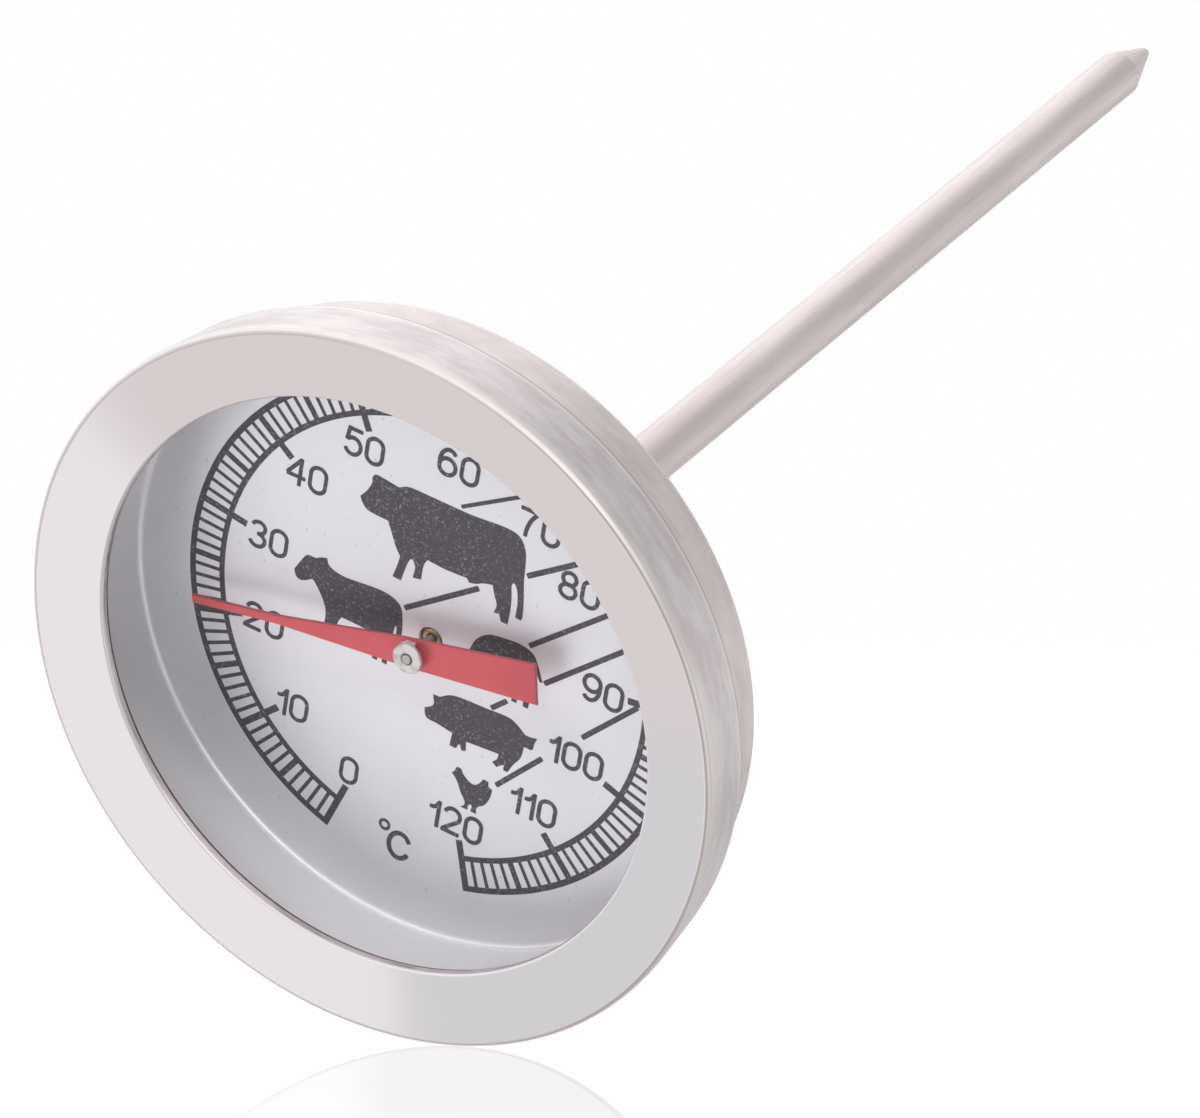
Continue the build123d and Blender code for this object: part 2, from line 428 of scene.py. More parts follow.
def named_finish(fill):
    """Turn a function that fills a node tree into one that makes the material of the same name."""
    def made():
        material = bpy.data.materials.new(fill.__name__)
        fill(Tree(material))
        return material
    return made


# ---------------------------------------------------------------- finishes

@named_finish
def bezel_steel(tree):
    """Stainless sheet: a polished face, and a brushed skirt with turning lines and cloudy stains;
    highlights, a dark reflection and a seam shadow are painted into its colour.
    """
    _, radius, y = tree.from_axis()
    grain = tree.streaks(7.0, 9.0, 4.0, 0.6)
    clouds = tree.streaks(5.0, 0.45, 4.0, 0.6)
    scuffs = tree.streaks(14.0, 1.6, 3.0, 0.6)
    skirt = tree.math("MAXIMUM", tree.remap(radius, bezel_r - 0.3, bezel_r - 0.08),
                      tree.remap(y, lip_y + 0.2, lip_y + 0.6))
    stains = tree.remap(tree.math("ADD", clouds, tree.times(scuffs, 0.5)), 0.62, 0.88)
    brushed = tree.mix(stains, (0.865, 0.805, 0.815), (0.72, 0.65, 0.66))
    brushed = tree.mix(tree.follow(grain, 0.22, 0.0), brushed, (0.60, 0.54, 0.56))
    colour = tree.mix(skirt, (0.825, 0.765, 0.785), brushed)
    # Painted light: a painted highlight behind the shoulder, a painted dark reflection ring on its
    # rounding, and at the rear a painted highlight along the rim and a painted shadow in the seam
    # painted highlight: a pale band on the skirt just behind the shoulder
    painted_shoulder_highlight = tree.times(skirt, tree.remap(y, shoulder_y + 0.25, shoulder_y + 1.1, 0.7, 0.0))
    # painted dark reflection: a dark ring on the shoulder's rounding
    painted_dark_reflection = tree.math("MINIMUM", tree.remap(radius, bezel_r - 0.42, bezel_r - 0.32),
                     tree.remap(radius, bezel_r - 0.20, bezel_r - 0.10, 1.0, 0.0))
    painted_dark_reflection = tree.times(painted_dark_reflection, tree.remap(y, shoulder_y + 0.2, shoulder_y + 0.3, 0.5, 0.0))
    # painted highlight along the rounding of the skirt's rear rim
    light = tree.remap(y, skirt_y - 0.75, skirt_y - 0.55, 0.0, 0.6)
    # painted shadow in the seam between the bezel's rear edge and the case
    dark = tree.times(tree.remap(y, skirt_y - 0.38, skirt_y - 0.26, 0.0, 0.9),
                      tree.remap(radius, bezel_rear_r - 0.45, bezel_rear_r - 0.30))
    for share, tint in ((painted_shoulder_highlight, (1.0, 0.96, 0.93)), (painted_dark_reflection, (0.50, 0.40, 0.39)),
                        (light, (0.93, 0.88, 0.88)), (dark, (0.22, 0.18, 0.175))):
        colour = tree.mix(share, colour, tint)
    satin = tree.times(tree.follow(grain, 0.24, 0.38), skirt)
    roughness = tree.math("ADD", satin, tree.remap(skirt, 0, 1, 0.09, 0.0))
    relief = tree.times(grain, skirt)
    tree.metal(colour, roughness, Normal=tree.bump(relief, 0.004))


@named_finish
def case_steel(tree):
    """Drawn steel with turning lines, a little rougher and pinker than the bezel."""
    grain = tree.streaks(6.0, 7.0, 4.0, 0.65)
    clouds = tree.streaks(6.0, 0.6, 4.0, 0.6)
    tint = tree.mix(tree.remap(clouds, 0.35, 0.65), (0.76, 0.68, 0.675), (0.90, 0.825, 0.82))
    colour = tree.mix(tree.follow(grain, 0.28, 0.0), tint, (0.60, 0.53, 0.53))
    tree.grained(colour, grain, 0.22, 0.34, 0.004, Metallic=1.0)


@named_finish
def stem_steel(tree):
    """Satin tube: lines along the stem, and slow stains down its length."""
    direction, _, y = tree.from_axis()
    round_it = tree.vector("MULTIPLY", direction, (9, 0, 9))
    along_it = tree.node("CombineXYZ", {1: tree.times(y, 0.05)})
    grain = tree.noise(tree.vector("ADD", round_it, along_it), 2.2, 4.0, 0.6)
    stains = tree.noise(tree.vector("MULTIPLY", tree.millimetres(), (0.25, 0.045, 0.25)), 1.0, 4.0, 0.6)
    pits = tree.grain(3.5, 3.0, 0.6)
    tint = tree.mix(tree.remap(stains, 0.35, 0.68), (0.86, 0.775, 0.765), (0.75, 0.665, 0.645))
    colour = tree.mix(tree.remap(pits, 0.62, 0.75, 0.0, 0.35), tint, (0.60, 0.54, 0.53))
    colour = tree.mix(tree.remap(grain, 0.52, 0.68, 0.0, 0.30), colour, (0.52, 0.42, 0.39))
    roughness = tree.remap(tree.math("ADD", grain, stains), 0.7, 1.3, 0.24, 0.36)
    tree.metal(colour, roughness, Normal=tree.bump(grain, 0.003))


@named_finish
def bush_steel(tree):
    """Turned bush: close rings from the tool."""
    rings = tree.streaks(1.5, 22.0)
    colour = tree.mix(rings, (0.62, 0.57, 0.56), (0.80, 0.745, 0.735))
    tree.grained(colour, rings, 0.22, 0.38, 0.006, Metallic=1.0)


@named_finish
def spring_steel(tree):
    """Blued spring steel of the washer and the spindle."""
    clouds = tree.grain(1.4, 3.0)
    colour = tree.mix(clouds, (0.46, 0.45, 0.46), (0.68, 0.66, 0.65))
    tree.metal(colour, tree.follow(clouds, 0.25, 0.40))


@named_finish
def seal_rubber(tree):
    """Dark brown rubber, matt, with a fine grain."""
    grain = tree.grain(7.0, 3.0)
    colour = tree.mix(grain, (0.045, 0.026, 0.020), (0.10, 0.062, 0.048))
    tree.grained(colour, grain, 0.5, 0.75, 0.02)


@named_finish
def window_glass(tree):
    """Clear coated pane: a small share is mirrored, and more where it is seen on the slant (Schlick)."""
    smears = tree.grain(0.16, 3.0, 0.6)
    clear = tree.node("BsdfTransparent", {"Color": (0.985, 0.99, 0.99)})
    mirror = tree.mirror(tree.remap(smears, 0.4, 0.7, 0.01, 0.06))
    share = tree.math("ADD", tree.times(tree.math("POWER", tree.slant(), 5.0), 0.9), 0.012)
    tree.surface(tree.blend(share, clear, mirror))


@named_finish
def dial_paint(tree):
    """Satin white lacquer with a fine grain and a few specks of dust; the dish's wall is bare metal."""
    grain = tree.grain(5.0, 3.0, 0.6)
    clouds = tree.grain(0.22)
    dust = tree.remap(tree.grain(2.3, 1.0), 0.735, 0.755)
    white = tree.mix(clouds, (0.816, 0.781, 0.835), (0.877, 0.846, 0.88))
    white = tree.mix(tree.follow(grain, 0.14, 0.0), white, (0.64, 0.61, 0.67))
    colour = tree.mix(tree.times(dust, 0.5), white, (0.45, 0.44, 0.46))
    # Bare from the fillet up, and duller on the wall than on the fillet; the fillet's near-white colour
    # is a painted highlight along the dish's corner
    _, _, y = tree.from_axis()
    bare = tree.remap(y, dial_y - 0.20, dial_y - 0.02, 1.0, 0.0)
    wall = tree.remap(y, dial_y - 0.55, dial_y - 0.35, 1.0, 0.0)
    metal = tree.mix(tree.streaks(5.0, 8.0, 3.0, 0.6), (0.82, 0.81, 0.82), (0.93, 0.92, 0.93))
    # painted highlight: the fillet gets a near-white colour, the wall the streaked metal
    metal = tree.mix(wall, (1.0, 0.99, 1.0), metal)
    satin = tree.mix(wall, (0.13, 0.13, 0.13), (0.33, 0.33, 0.33))
    matt = tree.follow(grain, 0.34, 0.46)
    relief = tree.times(grain, tree.remap(bare, 0, 1, 1.0, 0.0))
    tree.finish(Base_Color=tree.mix(bare, colour, metal), Metallic=tree.times(bare, 0.6),
                Roughness=tree.mix(bare, matt, satin), Normal=tree.bump(relief, 0.004))


@named_finish
def dial_ink(tree):
    """Screen printed ink: dark warm grey, thinner and lighter where the screen left pinholes."""
    mottle = tree.grain(2.6, 4.0, 0.65)
    pinholes = tree.remap(tree.grain(5.5, 1.0), 0.58, 0.70)
    worn = tree.remap(tree.grain(0.35), 0.42, 0.62, 0.21, 0.47)
    colour = tree.mix(mottle, (0.037, 0.029, 0.039), (0.075, 0.063, 0.077))
    colour = tree.mix(tree.times(pinholes, worn), colour, (0.42, 0.41, 0.44))
    tree.grained(colour, mottle, 0.5, 0.65, 0.004)


@named_finish
def pointer_red(tree):
    """Sprayed red paint, matt, with a slight orange peel."""
    peel = tree.grain(3.2, 3.0)
    colour = tree.mix(tree.grain(0.5), (0.56, 0.078, 0.098), (0.64, 0.105, 0.125))
    colour = tree.mix(tree.remap(peel, 0.35, 0.65, 0.12, 0.0), colour, (0.42, 0.05, 0.065))
    tree.grained(colour, peel, 0.42, 0.56, 0.008)


@named_finish
def hub_aluminium(tree):
    """Pressed soft aluminium, pale and satin."""
    grain = tree.grain(9.0, 3.0)
    _, radius, _ = tree.from_axis()
    colour = tree.mix(grain, (0.84, 0.78, 0.76), (0.93, 0.89, 0.87))
    smudge = tree.remap(tree.grain(1.7, 3.0), 0.50, 0.66, 0.0, 0.6)
    colour = tree.mix(smudge, colour, (0.56, 0.43, 0.37))
    # painted shade: darker in a ring round the countersunk hole where the spindle stands
    colour = tree.mix(tree.remap(radius, 0.42, 0.56, 0.75, 0.0), colour, (0.30, 0.25, 0.23))
    tree.grained(colour, grain, 0.34, 0.48, 0.006, Metallic=1.0)


@named_finish
def guide_brass(tree):
    """Turned brass, a little tarnished."""
    rings = tree.streaks(1.0, 20.0)
    tarnish = tree.grain(1.8, 3.0)
    colour = tree.mix(tree.remap(tarnish, 0.4, 0.7), (0.68, 0.52, 0.30), (0.36, 0.26, 0.14))
    tree.grained(colour, rings, 0.25, 0.42, 0.005, Metallic=1.0)


@named_finish
def bimetal_strip(tree):
    """Bimetal: one face steel grey, the other coppery, told apart by the distance from the axis."""
    _, radius, _ = tree.from_axis()
    heat = tree.grain(0.9, 3.0)
    side = tree.remap(radius, 1.12, 1.18)
    colour = tree.mix(side, (0.60, 0.57, 0.55), (0.72, 0.47, 0.33))
    colour = tree.mix(tree.remap(heat, 0.45, 0.75, 0.0, 0.5), colour, (0.38, 0.33, 0.36))
    tree.metal(colour, tree.follow(heat, 0.28, 0.42))


# ---------------------------------------------------------------- case, window and dial

def bezel_ring(finish):
    """Rolled ring: a dished face, a rounded shoulder, and a skirt folded in behind the case's hem."""
    fold_r = case_r + bezel_fit
    outline = [
        (lip_r, lip_y), (bezel_r, shoulder_y), (bezel_r, shoulder_y + bezel_land),
        (bezel_rear_r, skirt_y), (fold_r, skirt_y), (fold_r, hem_back_y),
        (bezel_rear_r - bezel_wall, hem_back_y), (bezel_r - bezel_wall, shoulder_y + bezel_land),
        (bezel_r - bezel_wall, shoulder_y + bezel_wall), (lip_r, lip_y + bezel_wall),
    ]
    rounds = {0: lip_round, 1: bezel_round, 2: 0.5, 3: bezel_curl, 4: 0.1, 7: 0.5}
    turned("bezel_ring", outline, rounds, finish, turns=bezel_turns)


def window_seal(finish):
    """Channel of rubber sheet folded round the pane's edge."""
    cover_r = lip_r + seal_show
    groove_r = rim_r - seal_t
    outline = [
        (cover_r, seal_y), (rim_r, seal_y), (rim_r, dish_rim_y),
        (groove_r - glass_edge, dish_rim_y), (groove_r - glass_edge, glass_back_y),
        (groove_r, glass_back_y), (groove_r, glass_y), (cover_r, glass_y),
    ]
    turned("window_seal", outline, {0: 0.1, 7: 0.1}, finish)


def glass_window(finish):
    """Round pane with a ground bevel on both edges."""
    outline = [
        (0, glass_y), (glass_r - glass_bevel, glass_y), (glass_r, glass_y + glass_bevel),
        (glass_r, glass_back_y - glass_bevel), (glass_r - glass_bevel, glass_back_y),
        (0, glass_back_y),
    ]
    turned("glass_window", outline, {}, finish)


def dial_pan(finish):
    """Dish: the printed face, a wall, and a rim clamped between the seal and the case."""
    wall_r = dish_r + dial_t
    outline = [
        (dial_hole_r, dial_y), (dish_r, dial_y), (dish_r, dish_rim_y), (rim_r, dish_rim_y),
        (rim_r, case_rim_y), (wall_r, case_rim_y), (wall_r, dial_back_y),
        (dial_hole_r, dial_back_y),
    ]
    rounds = {1: dish_round, 2: dial_t, 6: dish_round + dial_t}
    turned("dial_pan", outline, rounds, finish)


def case_back(finish):
    """Drawn pan: a hemmed rim that the bezel grips, and a dimple for the bush's flange."""
    inner_r = case_r - case_wall
    dimple_r = bush_flange_r + bush_flange_fit
    outline = [
        (bush_spigot_r, -bush_flange_t), (dimple_r, -bush_flange_t), (dimple_r, 0), (case_r, 0),
        (case_r, hem_back_y), (rim_r, hem_back_y), (rim_r, case_rim_y), (inner_r, case_rim_y),
        (inner_r, -case_wall), (dimple_r + case_wall, -case_wall), (dimple_r + case_wall, washer_y),
        (bush_spigot_r, washer_y),
    ]
    rounds = {2: 0.12, 3: case_round, 8: case_round - case_wall}
    turned("case_back", outline, rounds, finish)


# ---------------------------------------------------------------- stem

def stem_bush(finish):
    """Flange in the dimple, a neck round the stem, and a spigot inside the case."""
    bore_r = stem_neck_r + tube_fit
    outline = [
        (bore_r, bush_front_y), (bush_spigot_r, bush_front_y), (bush_spigot_r, -bush_flange_t),
        (bush_flange_r, -bush_flange_t), (bush_flange_r, 0), (bush_neck_r, 0),
        (bush_neck_r, bush_reach - bush_bevel), (bush_neck_r - bush_bevel, bush_reach),
        (bore_r, bush_reach),
    ]
    turned("stem_bush", outline, {5: 0.2}, finish, turns=stem_turns)


def bush_washer(finish):
    """Spring washer on the spigot."""
    outline = [
        (bush_spigot_r, washer_front_y), (washer_r, washer_front_y), (washer_r, washer_y),
        (bush_spigot_r, washer_y),
    ]
    turned("bush_washer", outline, {}, finish, turns=bore_turns)


def stem_tube(finish):
    """Long tube, drawn in where it enters the bush."""
    outline = [
        (stem_bore_r, stem_top_y), (stem_neck_r, stem_top_y), (stem_neck_r, bush_reach),
        (stem_r, bush_reach), (stem_r, cone_y), (stem_bore_r, cone_y),
    ]
    turned("stem_tube", outline, {4: joint_edge}, finish, turns=stem_turns)


def stem_tip(finish):
    """Point: a plug in the tube and a cone with a blunt end."""
    plug_r = stem_bore_r - tube_fit
    outline = [
        (0, plug_y), (plug_r, plug_y), (plug_r, cone_y), (stem_r, cone_y),
        (point_blunt_r, stem_reach), (0, stem_reach),
    ]
    turned("stem_tip", outline, {3: joint_edge, 4: point_round}, finish, turns=stem_turns)


def upper_guide(finish):
    """Brass guide whose nose shows in the dial's hole."""
    bore_r = spindle_r + running_fit
    outline = [
        (bore_r, guide_nose_y), (guide_nose_r, guide_nose_y), (guide_nose_r, stem_top_y),
        (guide_r, stem_top_y), (guide_r, guide_end_y), (bore_r, guide_end_y),
    ]
    turned("upper_guide", outline, {0: 0.1, 1: 0.12}, finish, turns=bore_turns)


def spindle(finish):
    """Thin rod; its front end stands out of the hub."""
    outline = [
        (0, spindle_top_y), (spindle_r, spindle_top_y), (spindle_r, spindle_end_y),
        (0, spindle_end_y),
    ]
    turned("spindle", outline, {1: 0.08}, finish, "indicator", turns=spindle_turns)


# ---------------------------------------------------------------- pointer and hub

def at_rest(vertices):
    """Turn points drawn with the pointer along +X to where it points at rest."""
    turn = math.radians(rest_angle)
    x = vertices[:, 0] * math.cos(turn) - vertices[:, 2] * math.sin(turn)
    z = vertices[:, 0] * math.sin(turn) + vertices[:, 2] * math.cos(turn)
    return np.stack([x, vertices[:, 1], z], 1)


def mitre(before, points, after):
    """How each point moves when its line shifts one unit to the left and its sides stay parallel."""
    come, leave = points - before, after - points
    come /= np.linalg.norm(come, axis=1)[:, None]
    leave /= np.linalg.norm(leave, axis=1)[:, None]
    left = np.stack([-come[:, 1] - leave[:, 1], come[:, 0] + leave[:, 0]], 1)
    return left / (1 + np.sum(come * leave, axis=1))[:, None]


def blade_outline():
    """The blade's edge, anticlockwise: its corners, and where rays a step apart meet its straight sides.

    A ray along u meets the side from p to q at p x (q - p) / u x (q - p) from the axis.
    """
    side = np.array([
        (pointer_tip_r, pointer_tip_width / 2),
        (pointer_neck_r, pointer_neck_width / 2),
        (pointer_waist_r, pointer_waist_width / 2),
        (-pointer_tail_r, pointer_tail_width / 2),
    ])
    corners = np.concatenate([side, side[::-1] * (1, -1)])
    turn = np.arctan2(corners[:, 1], corners[:, 0]) % (2 * math.pi)
    angles = np.sort(np.concatenate([turn, np.radians(np.arange(blade_step, 360, blade_step))]))
    edge = np.searchsorted(turn, angles, side="right") - 1
    start, step = corners[edge], (np.roll(corners, -1, axis=0) - corners)[edge]
    ray = np.stack([np.cos(angles), np.sin(angles)], 1)
    return ray * (cross(start, step) / cross(ray, step))[:, None]


def pointer(finish):
    """Flat tapered blade with softened edges and a hole for the hub's barrel.

    Loops of one point count, from the hole over the front, round the edge and over the back, are
    joined in order. Round the edge each loop is the outline moved in by its inset, and the middle of
    each softened edge lies 0.3 of its width, about 1 - cos 45, from both faces.
    """
    outline = blade_outline()
    inward = mitre(np.roll(outline, 1, axis=0), outline, np.roll(outline, -1, axis=0))
    hole = outline / np.linalg.norm(outline, axis=1)[:, None] * hub_barrel_r
    e = pointer_edge
    steps = [(e, pointer_y), (0.3 * e, pointer_y + 0.3 * e), (0, pointer_y + e),
             (0, pointer_back_y - e), (0.3 * e, pointer_back_y - 0.3 * e), (e, pointer_back_y)]
    round_the_edge = [(outline + inward * inset, y) for inset, y in steps]
    loops = [(hole, pointer_y)] + round_the_edge + [(hole, pointer_back_y)]
    vertices = at_rest(np.concatenate([np.insert(loop, 1, y, axis=1) for loop, y in loops]))
    index = np.arange(len(vertices)).reshape(len(loops), -1)
    ahead, beside = np.roll(index, -1, axis=0), np.roll(index, -1, axis=1)
    faces = np.stack([index, ahead, np.roll(ahead, -1, axis=1), beside], -1).reshape(-1, 4)
    add_piece("pointer_blade", vertices, [faces], finish, "indicator", ["pointer"],
              sharp=50)


def hub_ear(side):
    """One ear: a strip carried along a path out from the disc, round a bend and down to the blade.

    Its width falls evenly along the path from the root's to the foot's.
    """
    middle_y = hub_y + hub_disc_t / 2
    out = hub_ear_out - hub_ear_t / 2
    bend = hub_ear_bend
    foot_y = pointer_y + hub_ear_sink
    turn = np.radians(np.linspace(0, 90, 7))
    path_out = np.concatenate([[hub_ear_start], out - bend + bend * np.sin(turn), [out]])
    path_y = np.concatenate([[middle_y], middle_y + bend - bend * np.cos(turn), [foot_y]])
    along = np.stack([np.gradient(path_out), np.gradient(path_y)], 1)
    along /= np.linalg.norm(along, axis=1)[:, None]
    walked = np.concatenate([[0], np.cumsum(np.hypot(np.diff(path_out), np.diff(path_y)))])
    half = (hub_ear_root + (hub_ear_foot - hub_ear_root) * walked / walked[-1]) / 2
    corners = []
    for across, through in ((-1, -1), (1, -1), (1, 1), (-1, 1)):
        out_here = path_out - through * along[:, 1] * hub_ear_t / 2
        y_here = path_y + through * along[:, 0] * hub_ear_t / 2
        corners.append(np.stack([across * half, y_here, side * out_here], 1))
    vertices = np.concatenate(corners)
    count = len(path_out)
    index = np.arange(4 * count).reshape(4, count)
    ahead = np.roll(index, -1, axis=0)
    sides = np.stack([index[:, :-1], ahead[:, :-1], ahead[:, 1:], index[:, 1:]], -1).reshape(-1, 4)
    ends = np.stack([index[::-1, 0], index[:, -1]])
    faces = np.concatenate([sides, ends])
    return vertices, turned_outward(vertices, [faces])


def pointer_hub(finish):
    """Disc with a countersunk hole, a barrel behind it, and two ears that stand on the blade."""
    outline = [
        (spindle_r, hub_y + hub_countersink), (spindle_r + hub_countersink, hub_y),
        (hub_disc_r, hub_y), (hub_disc_r, hub_y + hub_disc_t), (hub_barrel_r, hub_y + hub_disc_t),
        (hub_barrel_r, hub_end_y), (spindle_r, hub_end_y),
    ]
    points, normals = rounded(outline, {2: 0.1, 3: 0.08}, hub_edge)
    vertices, _, faces = carried_round(points, normals, bore_turns)
    parts = [(vertices, turned_outward(vertices, faces)), hub_ear(1), hub_ear(-1)]
    vertices, faces = joined(parts)
    add_piece("hub_pressing", at_rest(vertices), faces, finish, "indicator",
              ["pointer_hub"], sharp=35)


# ---------------------------------------------------------------- print on the dial

def slab(points, faces, lift):
    """A thin closed layer of ink from a flat sheet of faces.

    The sheet is laid twice, at the ink's face and just inside the dial, and each edge that only one
    face uses becomes a side wall.
    """
    count = len(points)
    front = np.insert(points, 1, dial_y - ink_t - lift, axis=1)
    back = np.insert(points, 1, dial_y + ink_root, axis=1)
    edges = np.stack([faces, np.roll(faces, -1, axis=1)], -1).reshape(-1, 2)
    code, reverse = edges[:, 0] * count + edges[:, 1], edges[:, 1] * count + edges[:, 0]
    rim = edges[~np.isin(code, reverse)]
    walls = np.stack([rim[:, 1], rim[:, 0], rim[:, 0] + count, rim[:, 1] + count], 1)
    return np.concatenate([front, back]), [faces, faces[:, ::-1] + count, walls]


def print_piece(name, sheets, finish):
    """One printed figure made of flat sheets, each (points, faces) drawn anticlockwise."""
    parts = [slab(points, faces, number * ink_step) for number, (points, faces) in enumerate(sheets)]
    vertices, faces = joined(parts)
    add_piece(name, vertices, faces, finish, "case", sharp=30)


def trace(segments):
    """Points along a stroke, from points (x, z) and arcs (x, z, x radius, z radius, from, to)."""
    found = []
    for segment in segments:
        if len(segment) == 2:
            found.append(np.array([segment], float))
            continue
        x, z, x_radius, z_radius, start, end = segment
        t = np.radians(np.linspace(start, end, max(3, round(abs(end - start) / stroke_step)) + 1))
        found.append(np.stack([x + x_radius * np.cos(t), z + z_radius * np.sin(t)], 1))
    points = np.concatenate(found)
    keep = np.concatenate([[True], np.linalg.norm(np.diff(points, axis=0), axis=1) > same_point])
    return points[keep]


def ribbon(points, width):
    """A flat stroke: the line shifted half the width to each side, mitred at its corners.

    A line that comes back to its start closes on itself. An open one ends in softly rounded corners:
    over the last stretch its width falls along a quarter of an ellipse.
    """
    closed = np.allclose(points[0], points[-1])
    if closed:
        points = points[:-1]
        before, after = np.roll(points, 1, axis=0), np.roll(points, -1, axis=0)
        shares = np.ones(len(points))
    else:
        t = np.radians([0, 35, 65, 90])
        inset = stroke_soft * width * (1 - np.sin(t))
        narrow = 1 - stroke_narrow * (1 - np.cos(t))
        start = (points[0] - points[1]) / np.linalg.norm(points[0] - points[1])
        end = (points[-1] - points[-2]) / np.linalg.norm(points[-1] - points[-2])
        head = points[0] - start * inset[:, None]
        tail = points[-1] - end * inset[:, None]
        points = np.concatenate([head[::-1], points[1:-1], tail])
        shares = np.concatenate([narrow[::-1], np.ones(len(points) - 8), narrow])
        before = np.concatenate([points[:1] + start, points[:-1]])
        after = np.concatenate([points[1:], points[-1:] + end])
    offset = mitre(before, points, after) * (width / 2 * shares)[:, None]
    sheet = np.concatenate([points - offset, points + offset])
    count = len(points)
    here = np.arange(count if closed else count - 1)
    ahead = (here + 1) % count
    return sheet, np.stack([here, ahead, ahead + count, here + count], 1)


# Each figure: its width, and its strokes in units of half the width and half the height.
FIGURES = {
    "0": (1.55, [[(0, 0.42, 1, 0.58, 0, 180), (0, -0.42, 1, 0.58, 180, 360), (1, 0.42)]]),
    "1": (0.92, [[(1, 1.13), (1, -1.13)], [(-1.45, 0.45), (-0.9, 1.14, 1.7, 0.69, 270, 345)]]),
    "2": (1.58, [[(0, 0.42, 0.97, 0.58, 168, -34), (-0.98, -0.93)], [(-1.2, -1), (1.15, -1)]]),
    "3": (1.52, [[(0, 0.52, 0.88, 0.48, 165, -98)], [(0, -0.48, 1, 0.52, 98, -163)]]),
    "4": (1.62, [[(0.5, 1.13), (0.5, -1.13)], [(-1.15, -0.4), (1.2, -0.4)],
                 [(0.5, 1.06), (-1.1, -0.36)]]),
    "5": (1.55, [[(1.05, 1), (-0.66, 1), (-0.86, 0.02)], [(0, -0.34, 1, 0.66, 142, -158)]]),
    "6": (1.6, [[(0, -0.36, 1, 0.64, 0, 360)], [(0.06, 0, 1.06, 1, 200, 44)]]),
    "7": (1.6, [[(-1.2, 1), (1.1, 1)], [(2.0, -1.14, 2.25, 2.35, 116, 180)]]),
    "8": (1.52, [[(0, 0.51, 0.86, 0.49, 0, 360)], [(0, -0.47, 1, 0.53, 0, 360)]]),
    "9": (1.58, [[(0, 0.36, 1, 0.64, 0, 360)], [(-0.06, 0, 1.06, 1, 20, -134)]]),
}

# Middle of each number on the dial, (x, z)
NUMBER_PLACES = {
    0: (-4.65, -13.55), 10: (-9.85, -10.45), 20: (-13.05, -4.65), 30: (-13.63, 2.0),
    40: (-11.35, 8.35), 50: (-7.32, 12.6), 60: (0.03, 14.32), 70: (6.8, 12.5),
    80: (10.5, 9.15), 90: (13.53, 2.1), 100: (12.42, -3.97), 110: (9.9, -9.45),
    120: (4.22, -13.62),
}

# Lines from a figure to its mark: start, end and width
LEADER_LINES = [
    ((0.7, 11.4), (6.2, 15.0), 0.30),
    ((6.45, 8.4), (11.3, 12.05), 0.42),
    ((-2.35, 1.55), (3.02, 5.75), 0.42),
    ((7.5, 3.1), (13.7, 9.0), 0.40),
    ((9.1, 0.7), (15.2, 6.7), 0.40),
    ((12.6, -2.15), (16.3, 2.2), 0.40),
    ((5.45, -3.15), (6.55, -2.0), 0.40),
    ((6.8, -9.1), (9.92, -5.25), 0.40),
]


def number_sheets(number, centre):
    """The strokes of one number, its digits set side by side about a centre."""
    digits = str(number)
    widths = [FIGURES[digit][0] for digit in digits]
    left = centre[0] - (sum(widths) + numeral_gap * (len(digits) - 1)) / 2
    sheets = []
    for digit, width in zip(digits, widths):
        scale = np.array([width - numeral_stroke, numeral_height - numeral_stroke]) / 2
        middle = np.array([left + width / 2, centre[1]])
        strokes = [trace(stroke) * scale + middle for stroke in FIGURES[digit][1]]
        sheets += [ribbon(stroke, numeral_stroke) for stroke in strokes]
        left += width + numeral_gap
    return sheets


def celsius_sheets():
    """The ring of the degree sign, and the C."""
    ring = ribbon(trace([(-1.22, -16.53, 0.36, 0.36, 0, 360)]), 0.24)
    letter = ribbon(trace([(0.17, -17.72, 0.84, 1.04, 27, 333)]), 0.38)
    return [ring, letter]


def scale_band():
    """The scale as one sheet of cells between rays and rings, of which only the inked ones are kept.

    Each line has two rays, half its width to either side of its own angle, so its sides stay parallel:
    the ray's angle at radius r is the line's angle plus or minus width / 2r.
    """
    degrees = np.arange(scale_top + 1)
    width = np.where(degrees % 5 == 0, line_widths[5], line_widths[1])
    width = np.where(degrees % 10 == 0, line_widths[10], width)
    angle = np.radians(scale_zero - degrees * scale_sweep / scale_top)
    radii = np.array(band_edges)
    rays = angle[:, None, None] + np.array([1, -1])[None, :, None] * (width / 2)[:, None, None] / radii
    rays = rays.reshape(-1, len(radii))
    points = np.stack([radii * np.cos(rays), radii * np.sin(rays)], -1).reshape(-1, 2)
    columns = np.arange(len(rays) - 1)
    on_line = columns % 2 == 0
    on_ten = on_line & (columns // 2 % 10 == 0)
    everywhere = np.ones_like(on_line)
    inked = np.stack([on_ten, everywhere, on_line, everywhere], 1)
    column, row = np.nonzero(inked)
    corner = column * len(radii) + row
    faces = np.stack([corner, corner + len(radii), corner + len(radii) + 1, corner + 1], 1)
    used, faces = np.unique(faces, return_inverse=True)
    return [(points[used], faces.reshape(-1, 4)[:, ::-1])]


